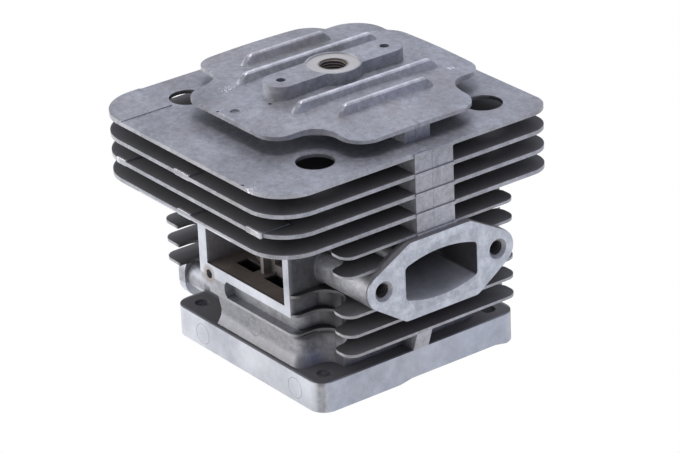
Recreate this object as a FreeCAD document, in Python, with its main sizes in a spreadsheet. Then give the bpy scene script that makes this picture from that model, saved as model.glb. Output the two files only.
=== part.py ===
# Air-cooled two-stroke cylinder with integral head, die-cast in aluminium as one piece.
#
# Millimetres. The origin is on the bore axis, on the gasket face that sits on the
# crankcase. +Z runs up the bore, +X faces the exhaust, -Y faces the open transfer box.
# Sizes live in the spreadsheet "Sizes"; every object reads its sizes from there.
import FreeCAD, Part
import math
import os
import re
import Sketcher
from FreeCAD import Placement, Rotation, Vector

# %% Driving dimensions ---------------------------------------------------------------
SIZES = {
    # crankcase flange and bore
    "bolt_square": 70.0,          # pitch of the four base bolts, both ways
    "bolt_hole": 5.2,
    "base_side": 84.4,
    "base_height": 10.9,
    "base_corner": 6.0,
    "bore_diameter": 52.0,
    "barrel_diameter": 59.0,
    "deck_height": 73.0,          # where the bore ends and the combustion dome begins
    "dome_height": 10.0,
    "dome_foot": 46.0,
    "dome_top": 22.0,
    # neck between the base and the lowest fin
    "neck_front": 36.0,
    "neck_face": 38.2,            # reach of its walls towards +-Y
    "neck_waist": 26.2,           # half width between the front bolts
    "neck_rear": 18.5,            # where its walls end towards -X
    "neck_cove": 5.0,
    "foot_flare": 2.2,
    "rim_flare": 2.9,
    "flare_share": 0.4,           # height of each flare over the height of the neck
    # fins
    "fin_pitch": 7.07,
    "fin_thickness": 1.4,         # large fins
    "small_thickness": 1.0,
    "first_fin": 87.8,            # top face of the uppermost fin
    "large_fins": 4,
    "short_fins": 2,              # behind the transfer boxes, above the exhaust screws
    "low_fins": 3,                # below the exhaust screws, with rims round the boxes
    "fin_front": 52.9,            # reach towards +X
    "fin_rear": 52.6,             # reach towards -X
    "fin_cover_side": 63.6,       # reach of the large fins towards -Y
    "fin_plain_side": 51.2,       # reach of the large fins towards +Y
    "corner_front_cover": 15.0,
    "corner_rear_cover": 17.0,
    "corner_front_plain": 9.0,
    "corner_rear_plain": 12.0,
    "bolt_path": 9.6,             # room for a bolt head between base and large fins
    "access_hole": 13.1,          # lets a socket reach the base bolts
    "access_across": 71.2,
    "access_along": 69.8,
    "waist": 28.7,                # half width of the low fins between the front bolts
    "inner_waist": 24.5,          # the same where a box wall hides the fin's end
    "plate_reach": 41.6,          # reach of the small fins and the box towards +-Y
    "waist_corner": 3.5,
    "notch_depth": 27.4,          # how far in the bolt notches reach
    "notch_radius": 7.2,
    "horn_front_inner": 43.4,
    "horn_rear_inner": 42.6,
    "horn_cover": 37.3,
    "horn_plain": 34.2,
    "horn_rear": 38.0,
    "horn_tip": 4.4,
    "horn_heel": 3.0,
    "boss_fin_end": 26.0,         # the fin between the exhaust screws ends on their bosses
    # transfer boxes on both sides
    "box_rear": 24.9,
    "box_front": 26.7,
    "box_depth": 21.6,            # how far the box walls run in from the outer face
    "mouth_rear": 20.4,
    "mouth_front": 23.6,
    "box_sill": 3.36,             # from the box's underside up to the mouth
    "mouth_roof": 57.0,
    "slot_start": 11.0,           # groove between the sill and the lowest fin
    "slot_depth": 3.4,
    "slot_end": 2.4,
    "cover_screw_x": 19.7,
    "cover_screw_rise": 5.53,     # above the lowest fin
    "cover_far_x": 21.0,
    "cover_far_z": 61.0,
    "cover_ear": 5.2,
    "cover_tap": 3.3,
    "cover_tap_depth": 10.0,
    "passage_middle": 1.0,        # passages, ports and rib are set this far to the rear
    "passage_inner": 3.0,
    "passage_outer": 13.5,
    "passage_front": 34.3,
    "passage_back": 29.0,
    "port_inner": 3.0,
    "port_outer": 13.0,
    "port_sill": 37.0,
    "port_head": 49.0,
    "rib_half": 0.8,
    "rib_reach": 32.6,
    # steps and pads where the die inserts meet, on the large fins
    "step_height": 0.3,
    "step_front_x": 43.0,
    "step_front_y": 3.0,
    "step_rear_x": 33.5,
    "step_rear_y": 43.0,
    "second_pad_rear": 3.5,
    "second_pad_front": 4.5,
    "second_pad_y": 58.5,
    "third_pad_rear": 37.8,
    "third_pad_step": 32.6,
    "third_pad_y": 56.6,
    "third_pad_start": 36.0,
    "third_pad_front": 43.7,
    "third_pad_inner_y": 52.0,
    "fourth_pad_rear": 3.0,
    "fourth_pad_front": 4.0,
    "fourth_pad_y": 57.0,
    # exhaust flange
    "exhaust_face": 55.0,
    "exhaust_plate": 4.0,
    "exhaust_axis": 44.5,
    "exhaust_screws": 47.8,
    "exhaust_tap": 5.0,
    "exhaust_tap_depth": 16.0,
    "exhaust_point": 36.8,
    "exhaust_ear": 6.8,
    "exhaust_top": 58.3,
    "exhaust_top_half": 12.6,
    "exhaust_bottom": 30.6,
    "exhaust_bottom_half": 15.1,
    "exhaust_soft": 3.0,
    "screw_boss": 6.8,
    "screw_boss_start": 25.0,
    "window_half": 15.0,
    "window_top": 54.6,
    "window_top_side": 50.0,
    "window_bottom": 33.6,
    "window_bottom_side": 38.2,
    "window_arch": 44.0,
    "window_corner": 1.8,
    "duct_wall": 3.2,
    # intake flange
    "intake_face": 55.0,
    "intake_plate": 3.7,
    "intake_axis": 13.0,
    "intake_screws": 48.0,
    "intake_tap": 5.0,
    "intake_tap_depth": 14.0,
    "intake_half": 30.7,
    "intake_top": 22.0,
    "intake_bottom": 4.0,
    "intake_soft": 7.5,
    "intake_boss": 5.6,
    "inlet_half": 15.0,
    "inlet_height": 10.0,
    "inlet_corner": 4.0,
    # top plate
    "plate_bottom": 93.0,
    "plate_crown": 97.0,
    "crown_radius": 450.0,
    "plate_front": 46.5,
    "plate_along": 44.2,
    "plate_arm_front": 25.8,      # half width of the arms that point to +-X
    "plate_arm_side": 26.2,       # half width of the arms that point to +-Y
    "plate_lobe": 8.6,
    "plate_scallop": 9.3,
    "pit_diameter": 3.3,          # a casting pit in the plate
    "pit_depth": 0.7,
    "pit_x": -1.0,
    "pit_y": -39.9,
    # plug boss, shroud screws and ribs
    "bar_top": 101.3,
    "bar_half": 6.2,
    "shroud_screws": 43.2,
    "shroud_tap": 3.3,
    "shroud_tap_depth": 9.0,
    "plug_boss": 19.2,
    "seat_diameter": 18.0,
    "seat_sink": 0.4,
    "plug_thread": 9.4,
    "rib_ridge": 98.7,
    "rib_crest": 0.75,            # half width of a cooling rib at its ridge
    "rib_spread": 2.1,            # and where it enters the plate
    "rib_foot": 95.4,
    # posts between the fins on the exhaust side
    "post_half": 7.9,
    "short_post_half": 5.2,
    "short_post_face": 44.6,
    "foot_post_half": 3.2,
    "foot_post_face": 42.2,
    "chamfer": 1.2,
    "relief_height": 0.9,         # shallow relief under the front edge of the base
    "relief_start": -9.0,
    "relief_end": 37.0,
    "relief_width": 3.5,
    "relief_slope": 5.0,
}

# %% Document, sheet and helpers ------------------------------------------------------
doc = FreeCAD.newDocument("cylinder")
sheet = doc.addObject("Spreadsheet::Sheet", "Sizes")
for row, (alias, size) in enumerate(SIZES.items(), start=1):
    sheet.set(f"A{row}", alias)
    sheet.set(f"B{row}", str(size))
    sheet.setAlias(f"B{row}", alias)
doc.recompute()

PLANES = {"XY": "XY_Plane", "XZ": "XZ_Plane", "YZ": "YZ_Plane"}
TURNS = {
    "Z": Rotation(),
    "X": Rotation(Vector(0, 1, 0), 90),
    "-X": Rotation(Vector(0, 1, 0), -90),
    "Y": Rotation(Vector(1, 0, 0), -90),
    "-Y": Rotation(Vector(1, 0, 0), 90),
}


def bound(expression):
    """The same expression with each cell's alias written as Sizes.alias."""
    return re.sub(
        r"[a-z_]+",
        lambda word: f"Sizes.{word.group()}" if word.group() in SIZES else word.group(),
        str(expression),
    )


def value(expression):
    """The number that an expression over the cells works out to."""
    result = sheet.evalExpression(bound(expression))
    return float(getattr(result, "Value", result))


def bind(thing, prop, expression):
    thing.setExpression(prop, bound(expression))


def put(thing, base, turn="Z"):
    """Place a primitive, with each coordinate of its base read from the sheet."""
    thing.Placement = Placement(Vector(*(value(item) for item in base)), TURNS[turn])
    for axis, item in zip("xyz", base):
        bind(thing, f"Placement.Base.{axis}", item)
    return thing


def box(name, low, high):
    solid = doc.addObject("Part::Box", name)
    for prop, start, end in zip(("Length", "Width", "Height"), low, high):
        bind(solid, prop, f"({end}) - ({start})")
    return put(solid, low)


def cylinder(name, diameter, height, base, turn="Z"):
    solid = doc.addObject("Part::Cylinder", name)
    bind(solid, "Radius", f"({diameter}) / 2")
    bind(solid, "Height", height)
    return put(solid, base, turn)


def countersink(name, diameter, base, turn):
    """A cone that widens a hole's mouth by one chamfer on each side."""
    solid = doc.addObject("Part::Cone", name)
    bind(solid, "Radius1", f"({diameter}) / 2 + chamfer")
    bind(solid, "Radius2", f"({diameter}) / 2")
    bind(solid, "Height", "chamfer")
    return put(solid, base, turn)


def join(name, solids):
    fused = doc.addObject("Part::MultiFuse", name)
    fused.Shapes = solids
    return fused


def cut(name, base, tool):
    result = doc.addObject("Part::Cut", name)
    result.Base = base
    result.Tool = tool
    return result


def arc_between(centre, radius, start, end, turns_left):
    first, last = (start, end) if turns_left else (end, start)
    angles = [math.atan2(p.y - centre.y, p.x - centre.x) for p in (first, last)]
    circle = Part.Circle(centre, Vector(0, 0, 1), radius)
    return Part.ArcOfCircle(circle, *angles)


def draw_outline(sketch, corners):
    """Draw a closed outline, counter-clockwise, from (x, y, corner radius) expressions.

    Each corner is a construction point tied to the sheet. The sides run through two
    of these points each, and an arc of the corner's radius joins two sides. A corner
    whose radius is "0" stays sharp.
    """
    points = [Vector(value(x), value(y), 0) for x, y, _ in corners]
    count = len(points)
    starts, ends, arcs, lefts = [], [], {}, []
    for index, point in enumerate(points):
        radius = value(corners[index][2])
        back = (points[index - 1] - point).normalize()
        ahead = (points[(index + 1) % count] - point).normalize()
        half_angle = back.getAngle(ahead) / 2
        reach = radius / math.tan(half_angle)
        centre = point + (back + ahead).normalize() * (radius / math.sin(half_angle))
        left = back.cross(ahead).z < 0
        starts.append(point + back * reach)
        ends.append(point + ahead * reach)
        lefts.append(left)
        if radius:
            arcs[index] = arc_between(centre, radius, starts[-1], ends[-1], left)
    for index in range(count):
        sketch.addGeometry(Part.LineSegment(ends[index - 1], starts[index]), False)
    for point in points:
        sketch.addGeometry(Part.Point(point), True)
    for index, (x, y, radius) in enumerate(corners):
        side = index
        next_side = (index + 1) % count
        corner = count + index
        for line in (side, next_side):
            sketch.addConstraint(Sketcher.Constraint("PointOnObject", corner, 1, line))
        for kind, axis, item in (("DistanceX", -2, x), ("DistanceY", -1, y)):
            if value(item) == 0:
                sketch.addConstraint(Sketcher.Constraint("PointOnObject", corner, 1, axis))
            else:
                number = sketch.addConstraint(
                    Sketcher.Constraint(kind, -1, 1, corner, 1, value(item)))
                bind(sketch, f"Constraints[{number}]", item)
        if index not in arcs:
            sketch.addConstraint(Sketcher.Constraint("Coincident", side, 2, next_side, 1))
            continue
        arc = sketch.addGeometry(arcs[index], False)
        enter, leave = (1, 2) if lefts[index] else (2, 1)
        sketch.addConstraint([
            Sketcher.Constraint("Tangent", side, 2, arc, enter),
            Sketcher.Constraint("Tangent", arc, leave, next_side, 1),
        ])
        number = sketch.addConstraint(Sketcher.Constraint("Radius", arc, value(radius)))
        bind(sketch, f"Constraints[{number}]", radius)


def section(name, corners, height):
    """A free outline at one height, for a loft."""
    sketch = doc.addObject("Sketcher::SketchObject", name)
    bind(sketch, "Placement.Base.z", height)
    draw_outline(sketch, corners)
    return sketch


def lofted(name, sections):
    solid = doc.addObject("Part::Loft", name)
    solid.Sections = sections
    solid.Solid = True
    solid.Ruled = True
    return solid


def padded(name, plane, corners, start, thickness):
    """A body: one outline on an origin plane, padded from start along the normal."""
    body = doc.addObject("PartDesign::Body", name)
    sketch = body.newObject("Sketcher::SketchObject", f"{name}_outline")
    support = next(f for f in body.Origin.OriginFeatures if f.Role == PLANES[plane])
    sketch.AttachmentSupport = (support, "")
    sketch.MapMode = "FlatFace"
    bind(sketch, "AttachmentOffset.Base.z", start)
    draw_outline(sketch, corners)
    pad = body.newObject("PartDesign::Pad", f"{name}_pad")
    pad.Profile = sketch
    bind(pad, "Length", thickness)
    body.Tip = pad
    return body


def stacked(body, count, name):
    """Repeat a body's pad downwards, one fin pitch apart."""
    body.AllowCompound = True
    pad = body.Tip
    pattern = body.newObject("PartDesign::LinearPattern", name)
    pattern.Originals = [pad]
    axis = next(f for f in body.Origin.OriginFeatures if f.Role == "Z_Axis")
    pattern.Direction = (axis, [""])
    pattern.Reversed = True
    bind(pattern, "Length", f"({count} - 1) * fin_pitch")
    bind(pattern, "Occurrences", count)
    body.Tip = pattern
    return body


def both_halves(corners):
    """Complete a right half outline, listed bottom to top, with its mirror image."""
    return corners + [(f"-({x})", y, r) for x, y, r in reversed(corners) if x != "0"]


def flipped(corners):
    """The mirror image of a whole outline, still counter-clockwise."""
    return [(f"-({x})", y, r) for x, y, r in reversed(corners)]


solids = []
hollows = []

# %% Levels of the fins ---------------------------------------------------------------
# Top faces, counted from the uppermost fin.
first_short = "(first_fin - large_fins * fin_pitch)"
boss_fin = f"({first_short} - short_fins * fin_pitch)"
first_low = f"({boss_fin} - fin_pitch)"
second_low = f"({first_low} - fin_pitch)"
last_low = f"({first_low} - (low_fins - 1) * fin_pitch)"
last_large = "(first_fin - (large_fins - 1) * fin_pitch)"

# %% Base flange, neck and barrel -----------------------------------------------------
half_base = "base_side / 2"
solids.append(padded("base_flange", "XY", [
    (half_base, f"-{half_base}", "base_corner"),
    (half_base, half_base, "base_corner"),
    (f"-{half_base}", half_base, "base_corner"),
    (f"-{half_base}", f"-{half_base}", "base_corner"),
], "0", "base_height"))
solids.append(cylinder("barrel", "barrel_diameter", "plate_bottom + 1", ("0", "0", "0")))


def neck_outline(flare):
    """The walls round the transfer passages, pushed out by a flare at foot and rim."""
    face = f"neck_face + {flare}"
    waist = f"neck_waist + {flare}"
    return [
        (waist, f"-({face})", "waist_corner"),
        (waist, "-notch_depth", "neck_cove"),
        ("neck_front", "-notch_depth", "0"),
        ("neck_front", "notch_depth", "0"),
        (waist, "notch_depth", "neck_cove"),
        (waist, face, "waist_corner"),
        ("-neck_rear", face, "0"),
        ("-neck_rear", "notch_depth", "0"),
        ("-neck_front", "notch_depth", "0"),
        ("-neck_front", "-notch_depth", "0"),
        ("-neck_rear", "-notch_depth", "0"),
        ("-neck_rear", f"-({face})", "0"),
    ]


rim_underside = f"({last_low} - small_thickness)"
neck_height = f"({rim_underside} - base_height)"
solids.append(lofted("neck", [
    section("neck_foot", neck_outline("foot_flare"), "base_height - 0.2"),
    section("neck_low", neck_outline("foot_flare / 5"),
            f"base_height + flare_share / 2 * {neck_height}"),
    section("neck_middle", neck_outline("0"), f"base_height + flare_share * {neck_height}"),
    section("neck_high", neck_outline("rim_flare / 3"),
            f"{rim_underside} - flare_share / 2 * {neck_height}"),
    section("neck_rim", neck_outline("rim_flare"), f"{rim_underside} + 0.2"),
]))
solids.append(padded("core", "XY", neck_outline("0"), rim_underside,
                     f"{first_low} - {rim_underside}"))

# %% Fins -----------------------------------------------------------------------------
large_outline = [
    ("fin_front", "-fin_cover_side", "corner_front_cover"),
    ("fin_front", "fin_plain_side", "corner_front_plain"),
    ("-fin_rear", "fin_plain_side", "corner_rear_plain"),
    ("-fin_rear", "-fin_cover_side", "corner_rear_cover"),
]
large = padded("large_fins", "XY", large_outline, "first_fin - fin_thickness", "fin_thickness")
solids.append(stacked(large, "large_fins", "large_fin_stack"))

rear_half = [
    ("-inner_waist", "plate_reach - 1", "0"),
    ("-inner_waist", "notch_depth", "notch_radius"),
    ("-horn_rear_inner", "notch_depth", "notch_radius"),
    ("-horn_rear_inner", "horn_rear", "0"),
    ("-fin_rear", "horn_rear", "horn_tip"),
    ("-fin_rear", "-horn_rear", "horn_tip"),
    ("-horn_rear_inner", "-horn_rear", "0"),
    ("-horn_rear_inner", "-notch_depth", "notch_radius"),
    ("-inner_waist", "-notch_depth", "notch_radius"),
    ("-inner_waist", "-(plate_reach - 1)", "0"),
]


def front_half(waist, reach):
    """Both horns beside the exhaust, and the notches for the front bolts."""
    return [
        (waist, f"-({reach})", "waist_corner"),
        (waist, "-notch_depth", "notch_radius"),
        ("horn_front_inner", "-notch_depth", "notch_radius"),
        ("horn_front_inner", "-horn_cover", "horn_heel"),
        ("fin_front", "-horn_cover", "horn_tip"),
        ("fin_front", "horn_plain", "horn_tip"),
        ("horn_front_inner", "horn_plain", "horn_heel"),
        ("horn_front_inner", "notch_depth", "notch_radius"),
        (waist, "notch_depth", "notch_radius"),
        (waist, reach, "waist_corner"),
    ]


def rimmed(corners):
    """The same outline with its ends towards +-Y out at the rims' reach."""
    return [(x, y.replace("plate_reach - 1", "plate_reach"), r) for x, y, r in corners]


small = {
    "short_fins": (front_half("inner_waist", "plate_reach - 1") + rear_half, first_short,
                   "short_fins"),
    "boss_fin": ([
        ("inner_waist", "-(plate_reach - 1)", "waist_corner"),
        ("inner_waist", "-boss_fin_end", "0"),
        ("fin_front", "-boss_fin_end", "0"),
        ("fin_front", "boss_fin_end", "0"),
        ("inner_waist", "boss_fin_end", "0"),
        ("inner_waist", "plate_reach - 1", "waist_corner"),
    ] + rear_half, boss_fin, "1"),
    "low_fins": (front_half("waist", "plate_reach") + rimmed(rear_half), first_low,
                 "low_fins"),
}
for name, (corners, level, count) in small.items():
    fin = padded(name, "XY", corners, f"{level} - small_thickness", "small_thickness")
    solids.append(fin if count == "1" else stacked(fin, count, f"{name}_stack"))

# %% Transfer boxes, one on each side -------------------------------------------------
box_floor = f"({second_low} - small_thickness)"
mouth_floor = f"({box_floor} + box_sill)"
near_z = f"({last_low} + cover_screw_rise)"
mouth = [
    ("mouth_front", mouth_floor, "0"),
    ("mouth_front", "mouth_roof", "0"),
    ("-mouth_rear", "mouth_roof", "0"),
    ("-mouth_rear", mouth_floor, "0"),
]
slot = [
    ("-slot_start", last_low, "slot_end"),
    ("waist + 2", last_low, "0"),
    ("waist + 2", box_floor, "0"),
    ("-slot_start", box_floor, "slot_end"),
]
box_hollows = []
screw_hollows = []


def transfer_box(side, sign, wall, mouth_run, slot_run):
    """One box: its walls, and the hollows that are cut before the barrel goes in.

    wall is the (start, end) of the walls along y. The runs are where the mouth and
    the slot start along the XZ plane's own normal, which points to -Y.
    """
    solids.append(padded(f"{side}_box", "XY", [
        ("box_front", wall[0], "0"),
        ("box_front", wall[1], "0"),
        ("-box_rear", wall[1], "0"),
        ("-box_rear", wall[0], "0"),
    ], box_floor, f"{last_large} - fin_thickness / 2 - {box_floor}"))
    solids.append(padded(f"{side}_ear", "XZ", [
        ("-box_rear", f"{last_low} - small_thickness / 2", "cover_ear"),
        ("1 - slot_start", f"{last_low} - small_thickness / 2", "0"),
        ("1 - slot_start", f"{box_floor} + 1", "0"),
        ("-box_rear", f"{box_floor} + 1", "0"),
    ], f"-({wall[1]})", "box_depth"))
    box_hollows.append(padded(f"{side}_mouth", "XZ", mouth, mouth_run, "box_depth + 1"))
    box_hollows.append(padded(f"{side}_slot", "XZ", slot, slot_run, "slot_depth + 1"))
    inward = "Y" if side == "cover" else "-Y"
    for name, x, z in (("near", "-cover_screw_x", near_z),
                       ("far", "cover_far_x", "cover_far_z")):
        start = (x, f"{sign}plate_reach", z)
        screw_hollows.append(cylinder(
            f"{side}_tap_{name}", "cover_tap", "cover_tap_depth", start, inward))


transfer_box("cover", "-", ("-plate_reach", "-plate_reach + box_depth"),
             "plate_reach - box_depth", "plate_reach - slot_depth")
transfer_box("plain", "", ("plate_reach - box_depth", "plate_reach"),
             "-plate_reach - 1", "-plate_reach - 1")


def ear_trim(side, low, high, start):
    """Rounds the lowest rim's rear end to the ear's own radius."""
    corner = box(f"{side}_corner", ("-waist", low, f"{last_low} - 2"),
                 ("-cover_screw_x", high, near_z))
    ear = cylinder(f"{side}_round", "2 * cover_ear", "box_depth",
                   ("-cover_screw_x", start, near_z), "Y")
    return cut(f"{side}_trim", corner, ear)


box_hollows.append(ear_trim("cover", "-plate_reach - 1", "-notch_depth - 1",
                            "-plate_reach - 2"))
box_hollows.append(ear_trim("plain", "notch_depth + 1", "plate_reach + 1",
                            "plate_reach + 2 - box_depth"))

# %% Exhaust flange, duct and screw bosses --------------------------------------------
solids.append(padded("exhaust_flange", "YZ", both_halves([
    ("exhaust_bottom_half", "exhaust_bottom", "exhaust_soft"),
    ("exhaust_point", "exhaust_axis + 0.6", "exhaust_ear"),
    ("exhaust_top_half", "exhaust_top", "exhaust_soft"),
]), "exhaust_face - exhaust_plate", "exhaust_plate"))
window = both_halves([
    ("0", "window_bottom", "window_arch"),
    ("window_half", "window_bottom_side", "window_corner"),
    ("window_half", "window_top_side", "window_corner"),
])
window.insert(3, ("0", "window_top", "window_arch"))
hollows.append(padded("exhaust_port", "YZ", window, "10", "exhaust_face - 9"))
solids.append(padded("exhaust_duct", "YZ", both_halves([
    ("window_half + duct_wall", "exhaust_bottom + 1.5", "exhaust_soft"),
    ("window_half + duct_wall", "exhaust_top - 2.5", "exhaust_soft"),
]), "12", "exhaust_face - 13"))
for number, sign in enumerate(("-", "")):
    screw = (f"{sign}exhaust_screws / 2", "exhaust_axis")
    solids.append(cylinder(f"exhaust_boss_{number}", "2 * screw_boss",
                           "exhaust_face - screw_boss_start - 1",
                           ("screw_boss_start", *screw), "X"))
    mouth_of_screw = ("exhaust_face", *screw)
    screw_hollows.append(cylinder(f"exhaust_tap_{number}", "exhaust_tap",
                                  "exhaust_tap_depth", mouth_of_screw, "-X"))
    screw_hollows.append(countersink(f"exhaust_sink_{number}", "exhaust_tap",
                                     mouth_of_screw, "-X"))

# %% Intake flange and neck -----------------------------------------------------------
solids.append(padded("intake_flange", "YZ", both_halves([
    ("intake_half", "intake_bottom", "intake_soft"),
    ("intake_half", "intake_top", "intake_soft"),
]), "-intake_face", "intake_plate"))
solids.append(padded("intake_duct", "YZ", both_halves([
    ("inlet_half + duct_wall", "intake_axis - inlet_height / 2 - duct_wall", "exhaust_soft"),
    ("inlet_half + duct_wall", "intake_axis + inlet_height / 2 + duct_wall", "exhaust_soft"),
]), "-intake_face + 1", "intake_face - 20"))
hollows.append(padded("intake_port", "YZ", both_halves([
    ("inlet_half", "intake_axis - inlet_height / 2", "inlet_corner"),
    ("inlet_half", "intake_axis + inlet_height / 2", "inlet_corner"),
]), "-intake_face - 1", "intake_face - 10"))
for number, sign in enumerate(("-", "")):
    screw = (f"{sign}intake_screws / 2", "intake_axis")
    solids.append(cylinder(f"intake_boss_{number}", "2 * intake_boss",
                           "intake_face - 31", ("-intake_face + 1", *screw), "X"))
    mouth_of_screw = ("-intake_face", *screw)
    screw_hollows.append(cylinder(f"intake_tap_{number}", "intake_tap",
                                  "intake_tap_depth", mouth_of_screw, "X"))

# %% Top plate, plug boss and ribs ----------------------------------------------------
plate = padded("top_plate_outline", "XY", [
    ("plate_front", "-plate_arm_front", "plate_lobe"),
    ("plate_front", "plate_arm_front", "plate_lobe"),
    ("plate_arm_side", "plate_arm_front", "plate_scallop"),
    ("plate_arm_side", "plate_along", "plate_lobe"),
    ("-plate_arm_side", "plate_along", "plate_lobe"),
    ("-plate_arm_side", "plate_arm_front", "plate_scallop"),
    ("-plate_front", "plate_arm_front", "plate_lobe"),
    ("-plate_front", "-plate_arm_front", "plate_lobe"),
    ("-plate_arm_side", "-plate_arm_front", "plate_scallop"),
    ("-plate_arm_side", "-plate_along", "plate_lobe"),
    ("plate_arm_side", "-plate_along", "plate_lobe"),
    ("plate_arm_side", "-plate_arm_front", "plate_scallop"),
], "plate_bottom", "plate_crown - plate_bottom + 1")
crown = doc.addObject("Part::Sphere", "crown")
bind(crown, "Radius", "crown_radius")
put(crown, ("0", "0", "plate_crown - crown_radius"))
top_plate = doc.addObject("Part::MultiCommon", "top_plate")
top_plate.Shapes = [plate, crown]
solids.append(top_plate)
screw_hollows.append(cylinder("pit", "pit_diameter", "pit_depth + 2",
                              ("pit_x", "pit_y", "plate_crown - pit_depth - 1.8")))

solids.append(padded("plug_bar", "XY", both_halves([
    ("bar_half", "-shroud_screws / 2 - bar_half", "bar_half - 0.02"),
    ("bar_half", "shroud_screws / 2 + bar_half", "bar_half - 0.02"),
]), "plate_bottom + 1", "bar_top - plate_bottom - 1"))
solids.append(cylinder("plug_boss", "plug_boss", "bar_top - plate_bottom - 1",
                       ("0", "0", "plate_bottom + 1")))
screw_hollows.append(cylinder("plug_seat", "seat_diameter", "2",
                              ("0", "0", "bar_top - seat_sink")))
for number, sign in enumerate(("-", "")):
    mouth_of_screw = ("0", f"{sign}shroud_screws / 2", "bar_top - shroud_tap_depth")
    screw_hollows.append(cylinder(f"shroud_tap_{number}", "shroud_tap",
                                  "shroud_tap_depth + 1", mouth_of_screw))

# Each rib: its place across the bar, the ends of its foot, and the ends of its ridge.
RIBS = {
    "rib_a": (-29.5, (-16.5, 20.5), (-10.5, 14.8)),
    "rib_b": (-17.5, (-27.0, 31.5), (-21.0, 26.4)),
    "rib_c": (14.5, (-28.0, 32.0), (-22.5, 27.0)),
    "rib_d": (26.0, (-18.5, 21.0), (-12.5, 15.8)),
}


def rib_outline(across, ends, half):
    """A long shape along y with pointed ends."""
    low, high = ends
    return [
        (f"{across}", low, "0"),
        (f"{across} + {half}", f"{low} + {half}", "0"),
        (f"{across} + {half}", f"{high} - {half}", "0"),
        (f"{across}", high, "0"),
        (f"{across} - {half}", f"{high} - {half}", "0"),
        (f"{across} - {half}", f"{low} + {half}", "0"),
    ]


for name, (across, foot, ridge) in RIBS.items():
    solids.append(lofted(name, [
        section(f"{name}_foot", rib_outline(across, foot, "rib_spread"), "rib_foot"),
        section(f"{name}_ridge", rib_outline(across, ridge, "rib_crest"), "rib_ridge"),
    ]))

# %% Steps and pads left by the die inserts --------------------------------------------
# Where an upper face stands higher: (level, x from, x to, inner end along y).
STEPS = {
    "step_front": ("first_fin", "step_front_x", "fin_front + 1", "-step_front_y"),
    "step_rear": ("first_fin", "-fin_rear - 1", "-step_rear_x", "-step_rear_y"),
    "pad_second": ("first_fin - fin_pitch", "-second_pad_rear", "second_pad_front",
                   "-second_pad_y"),
    "pad_third_rear": ("first_fin - 2 * fin_pitch", "-third_pad_rear", "-third_pad_step",
                       "-third_pad_y"),
    "pad_third_front": ("first_fin - 2 * fin_pitch", "third_pad_start", "third_pad_front",
                        "-third_pad_inner_y"),
    "pad_fourth": ("first_fin - 3 * fin_pitch", "-fourth_pad_rear", "fourth_pad_front",
                   "-fourth_pad_y"),
}
for name, (top, rear, front, inner) in STEPS.items():
    raised = doc.addObject("Part::MultiCommon", name)
    raised.Shapes = [
        padded(f"{name}_outline", "XY", large_outline, f"{top} - fin_thickness / 2",
               "fin_thickness / 2 + step_height"),
        box(f"{name}_area", (rear, "-fin_cover_side - 1", f"{top} - fin_thickness"),
            (front, inner, f"{top} + 1")),
    ]
    solids.append(raised)

# %% Posts between the fins on the exhaust side ---------------------------------------
solids.append(box("long_post", ("barrel_diameter / 2 - 2", "-post_half",
                                f"{first_short} - small_thickness"),
                  ("fin_front", "post_half", "first_fin - fin_thickness / 2")))
solids.append(box("short_post", ("barrel_diameter / 2 - 2", "-short_post_half",
                                 "first_fin - fin_thickness / 2"),
                  ("short_post_face", "short_post_half", "plate_bottom + 0.5")))
solids.append(padded("foot_post", "XZ", [
    ("neck_front - 2", "base_height - 0.5", "0"),
    ("foot_post_face", "base_height - 0.5", "0"),
    ("foot_post_face + 4.5", f"{last_low} - small_thickness / 2", "0"),
    ("neck_front - 2", f"{last_low} - small_thickness / 2", "0"),
], "-foot_post_half", "2 * foot_post_half"))

# %% Bolt holes, transfer passages and ports ------------------------------------------
for number, (sx, sy) in enumerate((("", ""), ("-", ""), ("-", "-"), ("", "-"))):
    screw_hollows.append(cylinder(
        f"base_bolt_{number}", "bolt_hole", "base_height + 3",
        (f"{sx}bolt_square / 2", f"{sy}bolt_square / 2", "-1")))
    screw_hollows.append(cylinder(
        f"bolt_path_{number}", "bolt_path", f"{last_large} - base_height",
        (f"{sx}bolt_square / 2", f"{sy}bolt_square / 2", "base_height")))
    screw_hollows.append(cylinder(
        f"access_{number}", "access_hole", "large_fins * fin_pitch",
        (f"{sx}access_across / 2", f"{sy}access_along / 2",
         f"{last_large} - fin_thickness - 1")))
for side, sx in (("rear", "-"), ("front", "")):
    for wing, sy in (("cover", "-"), ("plain", "")):
        xs = sorted((f"{sx}passage_inner", f"{sx}passage_outer"), key=value)
        ys = sorted((f"{sy}passage_front", f"{sy}passage_back"), key=value)
        hollows.append(box(
            f"passage_{side}_{wing}", (f"{xs[0]} - passage_middle", ys[0], "-1"),
            (f"{xs[1]} - passage_middle", ys[1], f"{mouth_floor} + 1")))
        xs = sorted((f"{sx}port_inner", f"{sx}port_outer"), key=value)
        ys = sorted((f"{sy}bore_diameter / 4", f"{sy}(plate_reach - 8)"), key=value)
        hollows.append(box(
            f"port_{side}_{wing}", (f"{xs[0]} - passage_middle", ys[0], "port_sill"),
            (f"{xs[1]} - passage_middle", ys[1], "port_head")))
for wing, ends in (("cover", ("-rib_reach", "-passage_back + 3")),
                   ("plain", ("passage_back - 3", "rib_reach"))):
    solids.append(box(
        f"rib_{wing}", ("-passage_middle - rib_half", ends[0], f"{mouth_floor} - 1"),
        ("rib_half - passage_middle", ends[1], "mouth_roof + 1")))

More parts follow.
